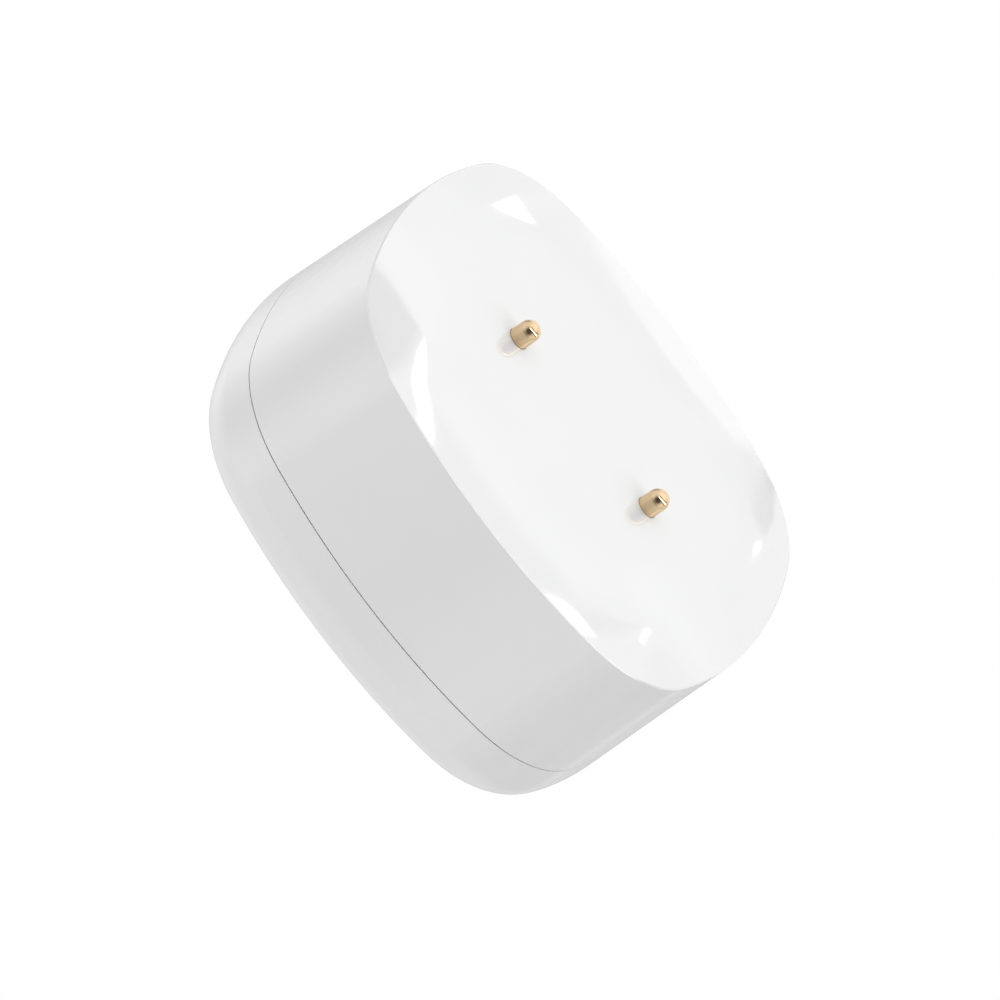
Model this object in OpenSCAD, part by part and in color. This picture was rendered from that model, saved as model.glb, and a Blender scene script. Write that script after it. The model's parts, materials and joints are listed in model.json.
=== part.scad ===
// Water leak sensor puck: two probe pins under a glossy base, a matte housing and a lift-off cover.
// Millimetres, probes down, origin under the middle of the puck at the level of the pin tips.

/* [Body] */
// Width across the middle of two sides, at the rim of the glossy base
body_w = 44.4; // [40:0.2:60]
// Corner radius of the outline, seen from above
corner_r = 11; // [10:0.5:12.5]
// Height of the housing, from the rim of the base to the seam
housing_h = 12.6; // [12.3:0.1:16]
// Height of the cover, from the seam to the top
cover_h = 6.7; // [6.6:0.1:12]
// Radius of the rounded edge round the top of the cover
cover_round = 4.0; // [2:0.25:5]
// Outward lean of the side walls, in degrees
lean_deg = 1.0; // [0:0.25:1.5]
// Thickness of the housing and cover walls
wall = 1.5; // [1.4:0.1:1.8]
// Open line left at the seam between housing and cover
seam_gap = 0.1; // [0.1:0.02:0.3]

/* [Base] */
// Thickness of the glossy base
base_t = 1.5; // [1.4:0.1:1.8]
// Width of the softly crowned edge of the base
crown_w = 7.5; // [6:0.25:8]
// Height that the crowned edge falls back by
crown_h = 0.2; // [0.15:0.05:0.4]
// Broken edge between base and housing
edge_break = 0.1; // [0.1:0.05:0.3]

/* [Probes] */
// Diameter of a probe pin
pin_d = 1.9; // [1.6:0.1:2.2]
// Distance between the two probe pins
pin_pitch = 16.8; // [15:0.1:20]
// Length of pin that stands out of the base
pin_out = 2.1; // [1.6:0.1:3]

/* [Battery] */
// Diameter of the coin cell
cell_d = 24.5; // [23:0.5:24.5]
// Thickness of the coin cell
cell_t = 5.0; // [3.2:0.1:5]

/* [Moving pieces] */
// How far the button of the pairing switch goes in
press = 0.25; // [0.15:0.05:0.25]

/* [Hidden] */
$fn = 96;

// Levels, from the pin tips up
z_flat = pin_out;
z_rim = z_flat + crown_h;
z_part = z_rim + edge_break;
z_in = z_flat + base_t;
spigot_h = 1.0;
z_spigot = z_in + spigot_h;
gasket_t = 0.6;
z_deck = z_spigot + gasket_t;
deck_t = 1.0;
board_gap = 1.4;
z_board = z_deck + deck_t + board_gap;
board_t = 1.0;
z_top_side = z_board + board_t;
z_seam = z_rim + housing_h;
z_cover = z_seam + seam_gap;
z_top = z_seam + cover_h;
roof_t = 1.6;

// Outline of the rim: four bowed sides and four corner arcs, each tangent to the next.
// A side turns through the angle of a 7, 24, 25 triangle each way before its corner takes over.
turn_s = 0.28;
turn_c = 0.96;
side_r = round(100 * (body_w / 2 - (turn_c - turn_s) * corner_r) / (1 - turn_c + turn_s)) / 100;
corner_c = turn_s * (side_r - corner_r);
side_c = (turn_c - turn_s) * (side_r - corner_r);
half = side_r - side_c;
crown_n = 8;

// Clearances
gap_fit = 0.1;
gap_slide = 0.15;
gap_bore = 0.03;
gap_seal = 0.05;

// Cover skirt and the seal on it
skirt_x = wall + gap_slide;
skirt_t = 1.6;
skirt_drop = 2.25;
spigot_t = 1.2;
seal_r = 0.48;
seal_z = z_seam - 1.1;

// Fasteners
post_r = 2.2;
post_in = post_r + 0.7;
post = corner_c + (corner_r - wall - post_in) * sqrt(0.5);
lug_r = 2.4;
lug = half - wall - gap_fit - spigot_t - lug_r - 0.5;
shank_r = 0.8;
pilot_r = shank_r + 0.05;
free_r = shank_r + 0.3;
head_r = 1.7;
head_t = 0.9;

// Board and what stands on it
board_inset = wall + 0.7;
board_half = half - board_inset;
cell_r = cell_d / 2;
cell_gap = 0.2;
holder_wall = 1.15;
holder_r = cell_r + cell_gap + holder_wall;
holder_floor = 0.7;
clip_foot = 1.9;
cell_y = holder_r + clip_foot - board_half;
z_cell = z_top_side + holder_floor;
clip_t = 0.25;
radio_gap = 0.6;
radio_y = cell_y + holder_r + radio_gap;
radio_w = 13;
radio_t = 0.8;
radio_l = board_half - radio_y - 1.2;
radio_x = 3.2 - radio_w;
radio_edge = 0.6;
antenna_w = 2;
antenna_edge = 1.2;
shield_w = radio_w - radio_edge - antenna_w - 2 * antenna_edge + 0.4;
switch_w = 4;
switch_x = radio_x + radio_w + switch_w / 2 + 1.2;
switch_y = radio_y + radio_l / 2;

// Probe pin steps
flange_r = pin_d / 2 + 1.5;
boss_r = flange_r + 0.5;
z_boss = z_in + 0.6;
flange_t = 0.7;
stub_h = 0.7;
ring_r = 0.45;
ring_mid = pin_d / 2 + gap_seal + ring_r;

// Outward shift of the side walls at a height, to a tenth of a micrometre
function lean(z) = round(10000 * (z - z_rim) * tan(lean_deg)) / 10000;

// Plan sector of one corner, from the corner centre
module corner_sector() {
  polygon([[0, 0], [24, 7], [24, 24], [7, 24]]);
}

// Sweeps a section round the rim: x is out from the rim, y is height
module along_rim() {
  for (i = [0 : 3]) {
    rotate(90 * i) {
      intersection() {
        translate([-side_c, 0, 0])
          rotate(180)
            rotate_extrude()
              translate([side_r, 0])
                children();
        linear_extrude(60)
          polygon([
            [corner_c, -corner_c], [corner_c + 24, -corner_c - 7],
            [corner_c + 24, corner_c + 7], [corner_c, corner_c]
          ]);
      }
      translate([corner_c, corner_c, 0])
        intersection() {
          rotate(180)
            rotate_extrude()
              translate([corner_r, 0])
                children();
          linear_extrude(60)
            corner_sector();
        }
    }
  }
}

// Flat outline parallel to the rim, out by off
module plan(off) {
  for (i = [0 : 3]) {
    rotate(90 * i) {
      intersection() {
        translate([-side_c, 0])
          circle(r = side_r + off);
        polygon([
          [0, 0], [corner_c, -corner_c], [corner_c + 24, -corner_c - 7],
          [corner_c + 24, corner_c + 7], [corner_c, corner_c]
        ]);
      }
      translate([corner_c, corner_c])
        intersection() {
          circle(r = corner_r + off);
          corner_sector();
        }
    }
  }
}

module plate(off, z, t) {
  translate([0, 0, z])
    linear_extrude(t)
      plan(off);
}

module at_pins() {
  for (s = [-1, 1]) {
    translate([s * pin_pitch / 2, 0, 0])
      children();
  }
}

module at_posts() {
  for (x = [-1, 1], y = [-1, 1]) {
    translate([x * post, y * post, 0])
      children();
  }
}

module at_lugs() {
  for (i = [0 : 3]) {
    rotate(90 * i)
      translate([lug, 0, 0])
        children();
  }
}

// Section of the base: crowned edge, parting step and the spigot inside the housing
module base_section() {
  inner = crown_w + 1.5;
  spigot_x = wall + gap_fit;
  crown = [for (k = [0 : crown_n]) (crown_w - edge_break) * k / crown_n];
  polygon(concat(
    [[-inner, z_flat]],
    [for (d = crown) [d - crown_w, z_flat + crown_h * pow(d / crown_w, 2)]],
    [
      [0, z_part], [-spigot_x, z_part], [-spigot_x, z_spigot],
      [-spigot_x - spigot_t, z_spigot], [-spigot_x - spigot_t, z_in], [-inner, z_in]
    ]
  ));
}

module base_cover() {
  color([0.95, 0.95, 0.95])
    difference() {
      union() {
        along_rim()
          base_section();
        plate(-crown_w - 0.8, z_flat, base_t);
        at_pins()
          translate([0, 0, z_in - 0.2])
            cylinder(r = boss_r, h = z_boss - z_in + 0.2);
        at_lugs()
          translate([0, 0, z_in - 0.2])
            cylinder(r = lug_r, h = z_deck - z_in + 0.2);
      }
      at_pins() {
        translate([0, 0, z_flat - 1])
          cylinder(r = pin_d / 2 + gap_bore, h = base_t + 3);
        translate([0, 0, z_boss - 2 * ring_r - 2 * gap_seal])
          cylinder(r = ring_mid + ring_r + gap_seal, h = 3);
      }
      at_lugs()
        translate([0, 0, z_flat + 0.9])
          cylinder(r = pilot_r, h = z_deck);
    }
}

module base_seal() {
  color([0.25, 0.25, 0.27])
    along_rim()
      translate([-wall - gap_fit - spigot_t + 0.1, z_spigot])
        square([spigot_t - 0.2, gasket_t]);
}

module housing() {
  color([0.86, 0.86, 0.85])
    difference() {
      union() {
        along_rim()
          polygon([
            [-wall, z_part], [lean(z_part), z_part],
            [lean(z_seam), z_seam], [-wall, z_seam]
          ]);
        plate(0.4 - wall, z_deck, deck_t);
        at_posts()
          translate([0, 0, z_deck + 0.3])
            cylinder(r = post_r, h = z_board - z_deck - 0.3);
      }
      at_pins()
        translate([0, 0, z_deck - 1])
          cylinder(r = boss_r + 0.4, h = deck_t + 2);
      at_lugs()
        translate([0, 0, z_deck - 1])
          cylinder(r = free_r, h = deck_t + 2);
      at_posts()
        translate([0, 0, z_deck + 0.4])
          cylinder(r = pilot_r, h = z_board);
    }
}

// Section of the cover: leaning wall, rounded top edge, roof, stop step and skirt with a seal groove
module cover_section() {
  mid_z = z_top - cover_round;
  mid_x = lean(mid_z) - cover_round;
  skirt_in = skirt_x + skirt_t;
  inner = max(skirt_in, -mid_x) + 1.5;
  z_skirt = z_seam - skirt_drop;
  groove = seal_r + gap_seal;
  difference() {
    union() {
      polygon([
        [-inner, z_skirt], [-skirt_x, z_skirt],
        [-skirt_x, seal_z - groove], [-skirt_x - 0.9, seal_z - groove],
        [-skirt_x - 0.9, seal_z + groove], [-skirt_x, seal_z + groove],
        [-skirt_x, z_seam + seam_gap / 2], [-skirt_x + 0.8, z_seam + seam_gap / 2],
        [-skirt_x + 0.8, z_cover], [lean(z_cover), z_cover],
        [mid_x + cover_round, mid_z], [mid_x, mid_z], [mid_x, z_top], [-inner, z_top]
      ]);
      translate([mid_x, mid_z])
        intersection() {
          circle(r = cover_round);
          square(cover_round + 1);
        }
    }
    translate([-inner - 1, z_skirt - 1])
      square([inner + 1 - skirt_in, z_top - roof_t - z_skirt + 1]);
  }
}

module top_cover() {
  color([0.86, 0.86, 0.85])
    difference() {
      union() {
        along_rim()
          cover_section();
        plate(-max(skirt_x + skirt_t, cover_round) - 0.6, z_top - roof_t, roof_t);
      }
      translate([-4.5, half - 1.0, z_cover - 0.5])
        cube([9, 4, 1.3]);
    }
}

module cover_seal() {
  color([0.25, 0.25, 0.27])
    along_rim()
      translate([-wall - gap_seal - 2 * seal_r, seal_z - seal_r])
        square(2 * seal_r);
}

module probe_pin() {
  r = pin_d / 2;
  color([0.83, 0.68, 0.42])
    rotate_extrude() {
      intersection() {
        translate([0, r])
          circle(r = r);
        square([r, r]);
      }
      translate([0, r])
        square([r, z_boss - r]);
      translate([0, z_boss])
        square([flange_r, flange_t]);
      translate([0, z_boss + flange_t])
        square([0.6, stub_h]);
    }
}

module probe_pin_left() {
  translate([-pin_pitch / 2, 0, 0])
    probe_pin();
}

module probe_pin_right() {
  translate([pin_pitch / 2, 0, 0])
    probe_pin();
}

module probe_seals() {
  color([0.2, 0.2, 0.22])
    at_pins()
      rotate_extrude()
        translate([ring_mid, z_boss - ring_r - gap_seal])
          circle(r = ring_r);
}

// Spring leaves from the board down to the pins
module probe_contacts() {
  z_tip = z_boss + flange_t + stub_h;
  t = 0.2;
  color([0.85, 0.72, 0.45])
    for (s = [-1, 1]) {
      translate([s * pin_pitch / 2, 1, 0])
        rotate([90, 0, 0])
          linear_extrude(2)
            polygon([
              [-s * 4.6, z_board], [-s * 4.6, z_board - t], [-s * 2.7, z_board - t],
              [-s * 0.6, z_tip], [s * 0.7, z_tip], [s * 1.1, z_tip + 0.3], [s * 0.95, z_tip + 0.5],
              [s * 0.6, z_tip + t], [-s * 0.5, z_tip + t], [-s * 2.5, z_board]
            ]);
    }
}

// Pan-head screw with a cross slot, seat at z = 0, shank down
module screw(length) {
  difference() {
    union() {
      cylinder(r = head_r, h = head_t);
      translate([0, 0, -length])
        cylinder(r = shank_r, h = length + 0.1);
    }
    for (a = [0, 90]) {
      rotate(a)
        translate([-head_r * 0.65, -0.2, head_t / 2])
          cube([head_r * 1.3, 0.4, head_t]);
    }
  }
}

module base_screws() {
  color([0.6, 0.6, 0.62])
    at_lugs()
      translate([0, 0, z_deck + deck_t])
        screw(deck_t + z_deck - z_flat - 1.4);
}

module board_screws() {
  color([0.6, 0.6, 0.62])
    at_posts()
      translate([0, 0, z_top_side])
        screw(board_t + z_board - z_deck - 0.8);
}

module circuit_board() {
  color([0.1, 0.35, 0.2])
    difference() {
      plate(-board_inset, z_board, board_t);
      at_posts()
        translate([0, 0, z_board - 1])
          cylinder(r = free_r, h = board_t + 2);
    }
}

// Cradle round the coin cell, open for the clip at the front and for a finger at both sides
module battery_holder() {
  h = holder_floor + cell_t * 0.6;
  color([0.12, 0.12, 0.13])
    translate([0, cell_y, z_top_side])
      difference() {
        cylinder(r = holder_r, h = h);
        translate([0, 0, holder_floor])
          cylinder(r = cell_r + cell_gap, h = h);
        translate([0, 0, -1])
          cylinder(r = 6, h = h);
        translate([-5.5, -holder_r - 1, -1])
          cube([11, 6, h + 2]);
        translate([-holder_r - 1, -4, holder_floor + 1])
          cube([2 * holder_r + 2, 8, h]);
      }
}

module battery_cell() {
  color([0.75, 0.76, 0.77])
    translate([0, cell_y, z_cell])
      rotate_extrude()
        polygon([
          [0, 0], [cell_r - 2.2, 0], [cell_r - 1.9, 0.3], [cell_r - 1.9, 0.7], [cell_r - 0.4, 0.7],
          [cell_r, 1.1], [cell_r, cell_t - 0.4], [cell_r - 0.4, cell_t], [0, cell_t]
        ]);
}

// Bent strip from the board up the front of the cell and over its rim
module battery_clip() {
  y0 = cell_y - cell_r - 0.5;
  z1 = z_cell + cell_t;
  color([0.8, 0.8, 0.78])
    translate([-4, 0, 0])
      rotate([90, 0, 90])
        linear_extrude(8)
          polygon([
            [y0 - 1.6, z_top_side], [y0, z_top_side], [y0, z1 + 0.15], [y0 + 4.6, z1 + 0.03],
            [y0 + 5.8, z1 + 0.5], [y0 + 5.7, z1 + 0.75], [y0 + 4.5, z1 + 0.03 + clip_t],
            [y0 - clip_t, z1 + 0.15 + clip_t], [y0 - clip_t, z_top_side + clip_t],
            [y0 - 1.6, z_top_side + clip_t]
          ]);
}

// Spring leaf under the cell
module battery_contact() {
  color([0.8, 0.8, 0.78])
    translate([-2, cell_y, 0])
      rotate([90, 0, 90])
        linear_extrude(4)
          polygon([
            [-4.6, z_top_side], [-2.2, z_top_side], [1.8, z_cell - 0.22], [3.4, z_cell - 0.3],
            [3.4, z_cell - 0.1], [1.8, z_cell - 0.02], [-2.3, z_top_side + 0.2], [-4.6, z_top_side + 0.2]
          ]);
}

module radio_board() {
  color([0.08, 0.25, 0.4])
    translate([radio_x, radio_y, z_top_side])
      difference() {
        cube([radio_w, radio_l, radio_t]);
        for (k = [0 : 4]) {
          translate([radio_w * (0.16 + 0.13 * k), 0, -1])
            cylinder(r = 0.4, h = radio_t + 2);
        }
      }
}

// Folded can over the radio parts
module radio_shield() {
  skin = 0.2;
  shield_l = radio_l - 2 * radio_edge;
  shield_h = 1.7;
  color([0.78, 0.78, 0.76])
    translate([radio_x + radio_edge, radio_y + radio_edge, z_top_side + radio_t])
      difference() {
        cube([shield_w, shield_l, shield_h]);
        translate([skin, skin, -1])
          cube([shield_w - 2 * skin, shield_l - 2 * skin, shield_h - skin + 1]);
        for (k = [1 : 3]) {
          translate([shield_w * k / 4, shield_l / 2, shield_h - 1])
            cylinder(r = 0.45, h = 2);
        }
      }
}

module antenna() {
  antenna_l = radio_l - 2 * antenna_edge;
  antenna_t = 1.1;
  color([0.92, 0.9, 0.85])
    translate([radio_x + radio_w - antenna_w - antenna_edge, radio_y + antenna_edge, z_top_side + radio_t])
      difference() {
        cube([antenna_w, antenna_l, antenna_t]);
        for (y = [0.18, 0.75]) {
          translate([-1, antenna_l * y, antenna_t - 0.2])
            cube([antenna_w + 2, antenna_l * 0.07, 1]);
        }
      }
}

// Square switch case with a chamber that keeps the button in
module switch_body() {
  color([0.15, 0.15, 0.16])
    translate([switch_x, switch_y, z_top_side])
      difference() {
        translate([-switch_w / 2, -switch_w / 2, 0])
          cube([switch_w, switch_w, 2.1]);
        translate([0, 0, 0.55])
          cylinder(r = 1.65, h = 1.05);
        cylinder(r = 1.05, h = 5);
      }
}

module switch_plunger() {
  color([0.9, 0.9, 0.88])
    translate([switch_x, switch_y, z_top_side]) {
      translate([0, 0, 0.7 + press])
        cylinder(r = 1.45, h = 0.4);
      translate([0, 0, 0.8 + press])
        cylinder(r = 1.0, h = 2.1);
    }
}

// Lamp beside the left rear post
module status_led() {
  color([0.95, 0.95, 0.85])
    translate([-post, post - post_r - 1.0, z_top_side]) {
      translate([-0.8, -0.4, 0])
        cube([1.6, 0.8, 0.35]);
      translate([-0.45, -0.4, 0.3])
        cube([0.9, 0.8, 0.45]);
    }
}

// Timing crystal beside the right rear post
module crystal() {
  color([0.7, 0.7, 0.72])
    translate([post, post - post_r - 2.0, z_top_side]) {
      translate([-0.75, -1.6, 0])
        cube([1.5, 3.2, 0.5]);
      translate([-0.6, -1.45, 0.4])
        cube([1.2, 2.9, 0.35]);
    }
}

// Small package with legs along two sides, under the board between the probe contacts
module sensor_chip() {
  color([0.1, 0.1, 0.11])
    translate([0, 0, z_board - 1.0]) {
      translate([-1.3, -1.5, 0])
        cube([2.6, 3, 0.9]);
      for (s = [-1, 1], k = [-1 : 1]) {
        translate([s * 1.6 - 0.4, k * 0.95 - 0.2, 0.75])
          cube([0.8, 0.4, 0.25]);
      }
    }
}

// Row of chip capacitors under the board beside the sensor chip
module capacitors() {
  color([0.72, 0.6, 0.45])
    for (k = [0 : 3]) {
      translate([1.2 * k - 2.2, 2.6, z_board - 0.8])
        cube([0.8, 1.6, 0.8]);
    }
}

base_cover();
base_seal();
housing();
top_cover();
cover_seal();
probe_pin_left();
probe_pin_right();
probe_seals();
probe_contacts();
base_screws();
circuit_board();
board_screws();
battery_holder();
battery_cell();
battery_clip();
battery_contact();
radio_board();
radio_shield();
antenna();
switch_body();
switch_plunger();
status_led();
crystal();
sensor_chip();
capacitors();
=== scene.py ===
import json
import math

import bpy
from mathutils import Matrix, Vector


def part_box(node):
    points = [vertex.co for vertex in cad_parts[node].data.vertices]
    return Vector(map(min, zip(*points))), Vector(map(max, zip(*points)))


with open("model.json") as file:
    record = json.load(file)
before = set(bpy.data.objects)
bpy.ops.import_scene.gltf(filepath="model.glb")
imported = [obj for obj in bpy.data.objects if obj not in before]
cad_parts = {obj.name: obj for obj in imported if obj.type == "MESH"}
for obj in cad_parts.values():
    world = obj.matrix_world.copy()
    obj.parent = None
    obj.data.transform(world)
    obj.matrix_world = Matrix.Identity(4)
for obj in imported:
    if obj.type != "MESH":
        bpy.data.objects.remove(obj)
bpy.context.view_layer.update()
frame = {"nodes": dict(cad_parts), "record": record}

MM = 0.001
MICRON = 0.000001
nodes = frame["nodes"]


# Camera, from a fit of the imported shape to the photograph
EYE = Vector((142.805, -1291.724, -697.006)) * MM
RIGHT = Vector((-0.60453, 0.33050, -0.72479))
UP = Vector((0.79061, 0.36012, -0.49522))
BACK = Vector((0.09734, -0.87240, -0.47900))
LENS = 673.77
SENSOR_WIDTH = 36.0
CLIP_START = 0.01
CLIP_END = 20.0

camera = bpy.data.objects.new("camera", bpy.data.cameras.new("camera"))
bpy.context.scene.collection.objects.link(camera)
camera.data.lens = LENS
camera.data.sensor_width = SENSOR_WIDTH
camera.data.clip_start = CLIP_START
camera.data.clip_end = CLIP_END
camera.matrix_world = Matrix.Translation(EYE) @ Matrix((RIGHT, UP, BACK)).transposed().to_4x4()
bpy.context.scene.camera = camera


class Shader:
    """Small helper that builds one material from nodes."""

    def __init__(self, name):
        self.mat = bpy.data.materials.new(name)
        self.mat.use_nodes = True
        self.tree = self.mat.node_tree
        self.bsdf = self.tree.nodes["Principled BSDF"]
        self.place = self.add("ShaderNodeTexCoord").outputs["Object"]

    def add(self, kind, **values):
        node = self.tree.nodes.new(kind)
        for key, value in values.items():
            setattr(node, key, value)
        return node

    def link(self, out, socket):
        self.tree.links.new(out, socket)

    def put(self, **values):
        for key, value in values.items():
            self.bsdf.inputs[key.replace("_", " ")].default_value = value

    def stretched(self, scale):
        node = self.add("ShaderNodeMapping")
        node.inputs["Scale"].default_value = scale
        self.link(self.place, node.inputs["Vector"])
        return node.outputs["Vector"]

    def noise(self, scale, detail=3.0, place=None):
        node = self.add("ShaderNodeTexNoise")
        node.inputs["Scale"].default_value = scale
        node.inputs["Detail"].default_value = detail
        self.link(place or self.place, node.inputs["Vector"])
        return node.outputs["Fac"]

    def ramp(self, value, *stops):
        node = self.add("ShaderNodeValToRGB")
        marks = node.color_ramp.elements
        while len(marks) < len(stops):
            marks.new(0.5)
        for mark, (at, colour) in zip(marks, stops):
            mark.position = at
            mark.color = (*colour, 1.0)
        self.link(value, node.inputs["Fac"])
        return node.outputs["Color"]

    def span(self, value, low, high, start=0.25, stop=0.75):
        node = self.add("ShaderNodeMapRange")
        node.inputs["From Min"].default_value = start
        node.inputs["From Max"].default_value = stop
        node.inputs["To Min"].default_value = low
        node.inputs["To Max"].default_value = high
        self.link(value, node.inputs["Value"])
        return node.outputs["Result"]

    def maths(self, operation, a, b):
        node = self.add("ShaderNodeMath", operation=operation)
        for socket, value in zip(node.inputs, (a, b)):
            if isinstance(value, (int, float)):
                socket.default_value = value
            else:
                self.link(value, socket)
        return node.outputs["Value"]

    def axis(self, name):
        node = self.add("ShaderNodeSeparateXYZ")
        self.link(self.place, node.inputs["Vector"])
        return node.outputs[name]

    def mix(self, value, a, b):
        node = self.add("ShaderNodeMix", data_type="RGBA")
        self.link(value, node.inputs["Factor"])
        for name, colour in (("A", a), ("B", b)):
            socket = [s for s in node.inputs if s.name == name and s.type == "RGBA"][0]
            if isinstance(colour, tuple):
                socket.default_value = (*colour, 1.0)
            else:
                self.link(colour, socket)
        return [s for s in node.outputs if s.type == "RGBA"][0]

    def colour(self, out):
        self.link(out, self.bsdf.inputs["Base Color"])

    def rough(self, out):
        self.link(out, self.bsdf.inputs["Roughness"])

    def bump(self, height, depth, strength=1.0, after=None):
        node = self.add("ShaderNodeBump")
        node.inputs["Strength"].default_value = strength
        node.inputs["Distance"].default_value = depth
        self.link(height, node.inputs["Height"])
        if after:
            self.link(after, node.inputs["Normal"])
        return node.outputs["Normal"]

    def relief(self, out):
        self.link(out, self.bsdf.inputs["Normal"])


PLASTIC_IOR = 1.5
# Noise cells to the metre: mottled colour and patches of gloss on plastic, stain on metal
MOTTLE = 140.0
GLOSS_PATCH = 900.0
STAIN = 500.0


def tone(colour, factor):
    """Colour made lighter or darker."""
    return tuple(min(1.0, c * factor) for c in colour)


def moulded(name, colour, rough, grain, depth, vary):
    """Moulded plastic or rubber with a fine grain, soft mottling and uneven gloss."""
    s = Shader(name)
    s.put(IOR=PLASTIC_IOR)
    s.colour(s.ramp(s.noise(MOTTLE, 2.0), (0.3, tone(colour, 1 - vary)), (0.7, tone(colour, 1 + vary))))
    s.rough(s.span(s.noise(GLOSS_PATCH, 2.0), rough - 0.04, rough + 0.04))
    s.relief(s.bump(s.noise(1.0 / grain, 2.0), depth))
    return s


def metal(name, colour, rough, stretch, depth, vary):
    """Drawn or brushed metal: fine lines across the axis with the most noise cells, and a light stain."""
    s = Shader(name)
    s.put(Metallic=1.0)
    drawn = s.noise(1.0, 3.0, s.stretched(stretch))
    s.colour(s.ramp(s.noise(STAIN, 4.0), (0.25, tone(colour, 1 - vary)), (0.75, tone(colour, 1 + vary))))
    s.rough(s.span(drawn, rough - 0.06, rough + 0.06))
    s.relief(s.bump(drawn, depth))
    return s


def gloss_white():
    """Polished base with a clear skin and a very faint flow in the surface."""
    s = Shader("gloss_white")
    s.put(IOR=PLASTIC_IOR, Coat_Weight=1.0, Coat_Roughness=0.02, Coat_IOR=PLASTIC_IOR)
    s.colour(s.ramp(s.noise(90.0, 2.0), (0.3, (0.800, 0.802, 0.804)), (0.7, (0.812, 0.812, 0.812))))
    s.rough(s.span(s.noise(220.0, 2.0), 0.02, 0.04))
    s.relief(s.bump(s.noise(160.0, 1.0), 0.1 * MICRON))
    return s


# Heights over a pin's tip where the polish of the dome ends and the turned shank starts
POLISH_END = 0.7 * MM
SHANK_START = 1.2 * MM


def probe_gold():
    """Gold pins: turned lines round the shank and a smoother dome."""
    s = Shader("probe_gold")
    s.put(Metallic=1.0)
    turned = s.noise(1.0, 2.0, s.stretched((150.0, 150.0, 26000.0)))
    s.colour(s.ramp(s.noise(1500.0, 3.0), (0.3, (0.72, 0.54, 0.33)), (0.7, (0.82, 0.62, 0.40))))
    s.rough(s.span(s.axis("Z"), 0.05, 0.22, POLISH_END, SHANK_START))
    s.relief(s.bump(turned, 1.2 * MICRON))
    return s


# Tinned ends of a chip capacitor
TIN_LENGTH = 0.30 * MM
TIN_BLUR = 0.02 * MM


def capacitor_tan():
    """Chip capacitors: tan ceramic with tinned ends."""
    low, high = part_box("capacitors")
    middle = (low[1] + high[1]) / 2
    tin_start = (high[1] - low[1]) / 2 - TIN_LENGTH
    s = Shader("capacitor_tan")
    off_middle = s.maths("ABSOLUTE", s.maths("SUBTRACT", s.axis("Y"), middle), 0.0)
    ends = s.span(off_middle, 0.0, 1.0, tin_start - TIN_BLUR, tin_start + TIN_BLUR)
    ceramic = s.ramp(s.noise(4000.0, 2.0), (0.3, (0.36, 0.25, 0.14)), (0.7, (0.44, 0.31, 0.18)))
    s.colour(s.mix(ends, ceramic, (0.62, 0.62, 0.60)))
    s.link(ends, s.bsdf.inputs["Metallic"])
    s.rough(s.span(s.noise(3000.0, 2.0), 0.32, 0.48))
    s.relief(s.bump(s.noise(9000.0, 2.0), 2.0 * MICRON))
    return s


# Copper runs of the board: the joints of a brick pattern of long rows
RUNS = {"Scale": 170.0, "Brick Width": 1.6, "Row Height": 0.14, "Mortar Size": 0.035, "Mortar Smooth": 0.15}
BLACK = (0.0, 0.0, 0.0, 1.0)
WHITE = (1.0, 1.0, 1.0, 1.0)


def board_green():
    """Circuit board: solder mask over raised copper runs, with a fine weave."""
    s = Shader("board_green")
    runs = s.add("ShaderNodeTexBrick", offset=0.37, squash=1.3, squash_frequency=3)
    for key, value in {**RUNS, "Color1": BLACK, "Color2": BLACK, "Mortar": WHITE}.items():
        runs.inputs[key].default_value = value
    s.link(s.place, runs.inputs["Vector"])
    weave = s.noise(6000.0, 1.0)
    mask = s.ramp(weave, (0.3, (0.010, 0.090, 0.038)), (0.7, (0.014, 0.112, 0.048)))
    s.colour(s.mix(runs.outputs["Color"], mask, (0.045, 0.200, 0.080)))
    s.rough(s.span(weave, 0.29, 0.39))
    s.relief(s.bump(runs.outputs["Color"], 20.0 * MICRON, 0.6, s.bump(weave, 3.0 * MICRON)))
    return s


# Moulded slots: colour, roughness, width of the grain in mm, its depth in microns, mottling
MOULDED = {
    "matte_white": ((0.80, 0.80, 0.80), 0.23, 0.16, 1.2, 0.006),
    "seal_grey": ((0.045, 0.045, 0.048), 0.62, 0.20, 4.0, 0.12),
    "holder_black": ((0.022, 0.022, 0.025), 0.48, 0.18, 4.0, 0.15),
    "switch_black": ((0.030, 0.030, 0.033), 0.42, 0.12, 2.0, 0.12),
    "switch_white": ((0.78, 0.78, 0.75), 0.36, 0.12, 2.0, 0.03),
    "antenna_ceramic": ((0.80, 0.76, 0.66), 0.55, 0.08, 2.0, 0.06),
    "led_clear": ((0.86, 0.82, 0.58), 0.18, 0.10, 1.0, 0.06),
    "chip_black": ((0.020, 0.020, 0.022), 0.50, 0.06, 2.0, 0.10),
}
# Metal slots: colour, roughness, noise cells to the metre along each axis, depth in microns, stain
METALS = {
    "contact_gold": ((0.80, 0.58, 0.28), 0.35, (300.0, 9000.0, 300.0), 1.0, 0.06),
    "screw_steel": ((0.52, 0.53, 0.56), 0.36, (4000.0, 4000.0, 9000.0), 1.5, 0.06),
    "clip_steel": ((0.66, 0.65, 0.62), 0.35, (9000.0, 300.0, 300.0), 1.0, 0.06),
    "cell_steel": ((0.62, 0.62, 0.64), 0.35, (9000.0, 250.0, 6000.0), 1.0, 0.04),
    "shield_tin": ((0.60, 0.60, 0.58), 0.36, (500.0, 7000.0, 500.0), 1.0, 0.08),
}

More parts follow.
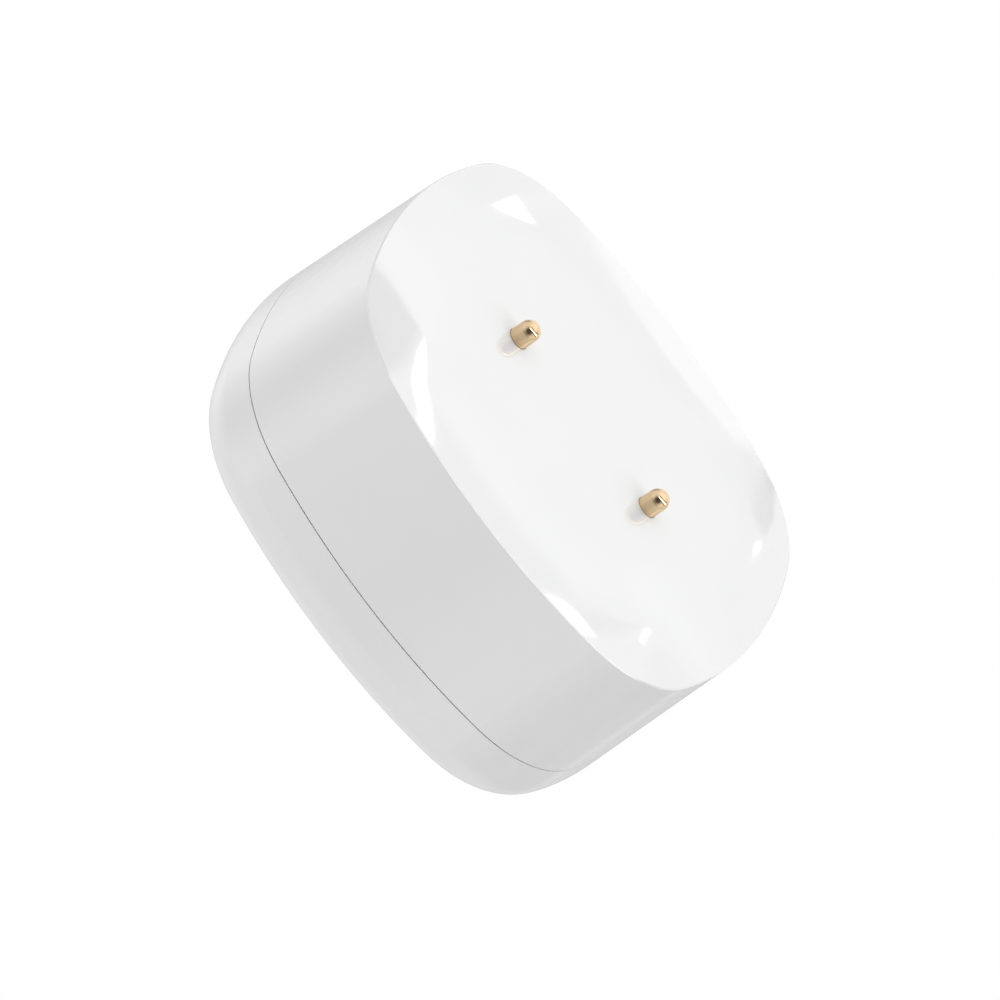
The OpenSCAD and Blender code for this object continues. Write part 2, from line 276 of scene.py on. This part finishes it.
mats = {}
for name, (colour, rough, grain, depth, vary) in MOULDED.items():
    mats[name] = moulded(name, colour, rough, grain * MM, depth * MICRON, vary)
for name, (colour, rough, stretch, depth, vary) in METALS.items():
    mats[name] = metal(name, colour, rough, stretch, depth * MICRON, vary)
for make in (gloss_white, probe_gold, capacitor_tan, board_green):
    mats[make.__name__] = make()

for part in frame["record"]["subparts"]:
    thing = nodes[part["node"]]
    thing.data.materials.clear()
    thing.data.materials.append(mats[part["material_slot"]].mat)


WELD_DISTANCE = 2.0 * MICRON
# Faces of the base that meet at less than this many degrees are shaded as one
SMOOTH_ANGLE = 12.0


def smooth_shading(thing, angle):
    """Joins the faces of a CAD node for shading where they meet at less than the angle."""
    tree = bpy.data.node_groups.new("smooth_" + thing.name, "GeometryNodeTree")
    tree.interface.new_socket("Geometry", in_out="INPUT", socket_type="NodeSocketGeometry")
    tree.interface.new_socket("Geometry", in_out="OUTPUT", socket_type="NodeSocketGeometry")
    start = tree.nodes.new("NodeGroupInput")
    stop = tree.nodes.new("NodeGroupOutput")
    weld = tree.nodes.new("GeometryNodeMergeByDistance")
    weld.inputs["Distance"].default_value = WELD_DISTANCE
    plain = tree.nodes.new("GeometryNodeRemoveAttribute")
    plain.inputs["Name"].default_value = "custom_normal"
    soft = tree.nodes.new("GeometryNodeSetShadeSmooth")
    soft.domain = "FACE"
    soft.inputs["Shade Smooth"].default_value = True
    bend = tree.nodes.new("GeometryNodeInputMeshEdgeAngle")
    sharp = tree.nodes.new("FunctionNodeCompare")
    sharp.data_type = "FLOAT"
    sharp.operation = "GREATER_THAN"
    sharp.inputs[1].default_value = math.radians(angle)
    crisp = tree.nodes.new("GeometryNodeSetShadeSmooth")
    crisp.domain = "EDGE"
    crisp.inputs["Shade Smooth"].default_value = False
    tree.links.new(start.outputs[0], weld.inputs["Geometry"])
    tree.links.new(weld.outputs["Geometry"], plain.inputs["Geometry"])
    tree.links.new(plain.outputs["Geometry"], soft.inputs["Geometry"])
    tree.links.new(soft.outputs["Geometry"], crisp.inputs["Geometry"])
    tree.links.new(bend.outputs["Unsigned Angle"], sharp.inputs[0])
    tree.links.new(sharp.outputs["Result"], crisp.inputs["Selection"])
    tree.links.new(crisp.outputs["Geometry"], stop.inputs[0])
    thing.modifiers.new("smooth", "NODES").node_group = tree


smooth_shading(nodes["base_cover"], SMOOTH_ANGLE)


# Pale floor, far under the part because the photograph looks at its underside
FLOOR_Z = -1.6
FLOOR_HALF = 6.0
floor_corners = [(x * FLOOR_HALF, y * FLOOR_HALF, FLOOR_Z) for x, y in ((-1, -1), (1, -1), (1, 1), (-1, 1))]
mesh = bpy.data.meshes.new("floor")
mesh.from_pydata(floor_corners, [], [(0, 1, 2, 3)])
floor = bpy.data.objects.new("floor", mesh)
bpy.context.scene.collection.objects.link(floor)
pale = Shader("floor_pale")
pale.colour(pale.ramp(pale.noise(3.0, 3.0), (0.3, (0.86, 0.86, 0.86)), (0.7, (0.89, 0.89, 0.89))))
pale.rough(pale.span(pale.noise(20.0, 2.0), 0.7, 0.8))
floor.data.materials.append(pale.mat)
# The light of the surround comes from under the floor too, so the floor doesn't hold it back
floor.visible_glossy = False
floor.visible_diffuse = False
floor.visible_shadow = False


# Studio light: a soft surround of broad lobes and small cards, seen as plain white by the camera
world = bpy.data.worlds.new("studio")
bpy.context.scene.world = world
world.use_nodes = True
surround = world.node_tree
surround.nodes.clear()
coords = surround.nodes.new("ShaderNodeTexCoord").outputs["Generated"]


def sky(operation, *values):
    """One maths node of the surround."""
    node = surround.nodes.new("ShaderNodeMath")
    node.operation = operation
    for socket, value in zip(node.inputs, values):
        if isinstance(value, (int, float)):
            socket.default_value = value
        else:
            surround.links.new(value, socket)
    return node.outputs["Value"]


def towards(direction):
    """Cosine of the angle to a direction."""
    node = surround.nodes.new("ShaderNodeVectorMath")
    node.operation = "DOT_PRODUCT"
    node.inputs[1].default_value = Vector(direction).normalized()
    surround.links.new(coords, node.inputs[0])
    return node.outputs["Value"]


def fade(value, start, stop):
    """0 at start, 1 at stop, smooth between."""
    node = surround.nodes.new("ShaderNodeMapRange")
    node.interpolation_type = "SMOOTHSTEP"
    node.inputs["From Min"].default_value = start
    node.inputs["From Max"].default_value = stop
    surround.links.new(value, node.inputs["Value"])
    return node.outputs["Result"]


def lobe(direction, inner, outer):
    """Round soft light, half angles in degrees."""
    return fade(towards(direction), math.cos(math.radians(outer)), math.cos(math.radians(inner)))


AMBIENT = 0.945
LEAST = 0.02
TOP = Vector((0.0, 0.0, 1.0))
# Direction that the middle of the base mirrors to the camera
MIRROR = Vector((-0.09719, 0.87569, -0.47300))

# Broad lights and dark flags: direction, inner and outer half angle in degrees, added light
LOBES = [
    (MIRROR, 20, 50, 0.20),
    (BACK, 15, 60, -0.60),
    (BACK, 10, 45, -0.25),
    (-TOP, 15, 55, 0.34),
    (TOP, 20, 75, 0.36),
    ((0.0, 0.2, 0.98), 22, 48, -0.50),
    ((0.649, 0.759, -0.060), 10, 26, -0.40),
]
# Light that a side wall mirrors when it faces so many degrees from -Y towards +X, then two narrower lights
SIDE_INNER = 4
SIDE_OUTER = 26
SIDE_LIGHT = {
    -84: -0.35, -70: -0.20, -56: -0.55, -42: -0.55, -28: -0.55, -14: 0.40, 0: -0.20,
    14: 0.30, 28: 0.85, 42: -0.55, 56: -0.15, 70: 0.35, 84: -0.15,
}
SIDES = [(turn, SIDE_INNER, SIDE_OUTER, amount) for turn, amount in SIDE_LIGHT.items()]
SIDES += [(23, 8, 16, 0.15), (-12, 3, 13, 0.30)]
for turn, inner, outer, amount in SIDES:
    facing = Vector((math.sin(math.radians(turn)), -math.cos(math.radians(turn)), 0.0))
    LOBES.append(((-BACK).reflect(facing), inner, outer, amount))

total = AMBIENT
for direction, inner, outer, amount in LOBES:
    total = sky("MULTIPLY_ADD", lobe(direction, inner, outer), amount, total)

# Bright strip between dark flags under the part, seen in the domes of the pins: part of a ring round a pole
STRIP_POLE = (0.049, 0.617, -0.786)
STRIP_COSINE = 0.333
STRIP_MIDDLE = (-0.465, -0.417, -0.781)
STRIP_INNER = 48
STRIP_OUTER = 60
# Outer and inner edge of a band as cosines off the ring, added light: the flags, then the strip
BANDS = [(0.28, 0.20, -0.8), (0.115, 0.075, 3.2)]
ring = sky("ABSOLUTE", sky("ADD", towards(STRIP_POLE), -STRIP_COSINE))
length = lobe(STRIP_MIDDLE, STRIP_INNER, STRIP_OUTER)
for outer, inner, amount in BANDS:
    total = sky("MULTIPLY_ADD", sky("MULTIPLY", length, fade(ring, outer, inner)), amount, total)

# Cards that the base mirrors: added light, then the corners anticlockwise. Each corner has its degrees
# across and above the mirrored direction, and the softness of the side that starts there.
CARDS = [
    # Window, strip and lamps, seen as white marks
    (2.5, (-2.20, 0.62, .05), (-1.62, 0.60, .06), (-1.28, 1.00, .06), (-1.30, 1.42, .06),
     (-2.20, 2.04, .04)),
    (2.5, (-1.03, -2.00, .06), (-0.93, -3.50, .05), (-0.60, -3.50, .04), (-0.80, -0.95, .04),
     (-0.90, -0.95, .05)),
    (2.5, (-0.93, -3.50, .05), (-0.54, -6.40, .05), (-0.40, -6.40, .04), (-0.60, -3.50, .05)),
    (2.2, (1.80, 1.22, .03), (1.95, 1.24, .03), (2.11, 1.50, .03), (2.05, 1.61, .03)),
    (2.2, (1.34, -0.75, .05), (1.76, -1.78, .06), (1.90, -1.75, .05), (1.50, -0.66, .05)),
    (2.5, (1.19, -4.75, .05), (1.10, -6.60, .05), (1.52, -6.60, .05), (1.55, -5.10, .06)),
    # Dark room past the left corner and beside the far right one
    (-0.62, (-1.12, -0.95, .06), (-3.70, -2.25, .20), (-3.70, -6.80, .20), (-1.35, -6.80, .28)),
    (-0.32, (-1.60, -6.00, .60), (-3.70, -3.00, .20), (-3.70, -6.80, .20)),
    (-0.12, (0.86, 2.30, .20), (1.60, 1.35, .15), (2.02, 2.00, .05), (1.97, 3.50, .05), (1.38, 5.62, .06),
     (0.80, 5.72, .06), (0.52, 4.60, .06)),
    (-0.34, (1.30, 1.90, .30), (2.02, 2.00, .05), (1.97, 3.50, .05), (1.38, 5.62, .06), (1.00, 5.60, .30)),
    (-0.30, (0.95, 5.45, .06), (1.30, 5.30, .08), (1.38, 5.60, .05), (0.90, 5.75, .05)),
    (-0.30, (1.30, 5.30, .08), (1.60, 4.70, .08), (1.76, 4.90, .05), (1.38, 5.60, .06)),
    (-0.30, (1.60, 4.70, .08), (1.83, 3.50, .06), (1.97, 3.50, .05), (1.76, 4.90, .06)),
    (-0.25, (1.20, -0.85, .08), (0.98, -2.60, .10), (1.20, -4.70, .10), (1.50, -4.70, .20),
     (1.42, -1.60, .20)),
    # Faint bands: horizon, pale wall over the near side, pale band along the far side
    (-0.12, (-4.00, 0.35, .30), (4.00, 0.35, .30), (4.00, 7.50, .30), (-4.00, 7.50, .30)),
    (0.32, (-1.35, 5.60, .20), (-0.35, 3.00, .40), (0.05, 3.00, .12), (0.62, 5.00, .05), (0.66, 7.00, .30),
     (-1.35, 7.00, .20)),
    (0.14, (-0.50, -0.30, .12), (-3.80, -1.10, .25), (-3.80, -2.25, .05), (-0.90, -0.85, .10)),
    (0.14, (0.45, -0.30, .06), (3.30, -0.50, .05), (3.30, -0.28, .08), (0.50, -0.12, .06)),
    (0.10, (-0.55, -3.30, .35), (0.90, -3.20, .06), (0.52, -0.40, .10), (-0.45, -0.60, .10)),
    (-0.12, (-0.45, -3.70, .05), (-0.30, -6.80, .30), (1.12, -6.80, .05), (0.98, -3.70, .30)),
    (-0.12, (2.00, -0.80, .10), (2.60, -3.00, .30), (3.80, -3.00, .30), (3.80, -0.75, .06)),
    (0.10, (-2.20, 2.20, .15), (-1.70, 2.20, .10), (-1.65, 5.50, .20), (-2.10, 5.50, .04)),
    (0.10, (0.10, 0.35, .05), (0.22, 0.35, .06), (0.56, 5.00, .10), (0.36, 5.00, .05)),
]
ACROSS = TOP.cross(MIRROR).normalized()
ABOVE = MIRROR.cross(ACROSS)
across = sky("MULTIPLY", towards(ACROSS), math.degrees(1.0))
above = sky("MULTIPLY", towards(ABOVE), math.degrees(1.0))
front = fade(towards(MIRROR), 0.5, 0.6)


def card(corners):
    """Convex card: 1 inside, 0 outside."""
    shape = front
    for (a, b, soft), (c, d, _) in zip(corners, corners[1:] + corners[:1]):
        side = math.hypot(c - a, d - b)
        u, v = (b - d) / side, (c - a) / side
        inside = sky("MULTIPLY_ADD", across, u, sky("MULTIPLY_ADD", above, v, -(a * u + b * v)))
        shape = sky("MULTIPLY", shape, fade(inside, -soft, soft))
    return shape


for amount, *corners in CARDS:
    total = sky("MULTIPLY_ADD", card(corners), amount, total)

light = surround.nodes.new("ShaderNodeBackground")
light.inputs["Color"].default_value = WHITE
surround.links.new(sky("MAXIMUM", total, LEAST), light.inputs["Strength"])
plain = surround.nodes.new("ShaderNodeBackground")
plain.inputs["Color"].default_value = WHITE
path = surround.nodes.new("ShaderNodeLightPath")
pick = surround.nodes.new("ShaderNodeMixShader")
out = surround.nodes.new("ShaderNodeOutputWorld")
surround.links.new(path.outputs["Is Camera Ray"], pick.inputs["Fac"])
surround.links.new(light.outputs["Background"], pick.inputs[1])
surround.links.new(plain.outputs["Background"], pick.inputs[2])
surround.links.new(pick.outputs["Shader"], out.inputs["Surface"])

bpy.context.scene.view_settings.view_transform = "Standard"
bpy.context.scene.view_settings.look = "None"
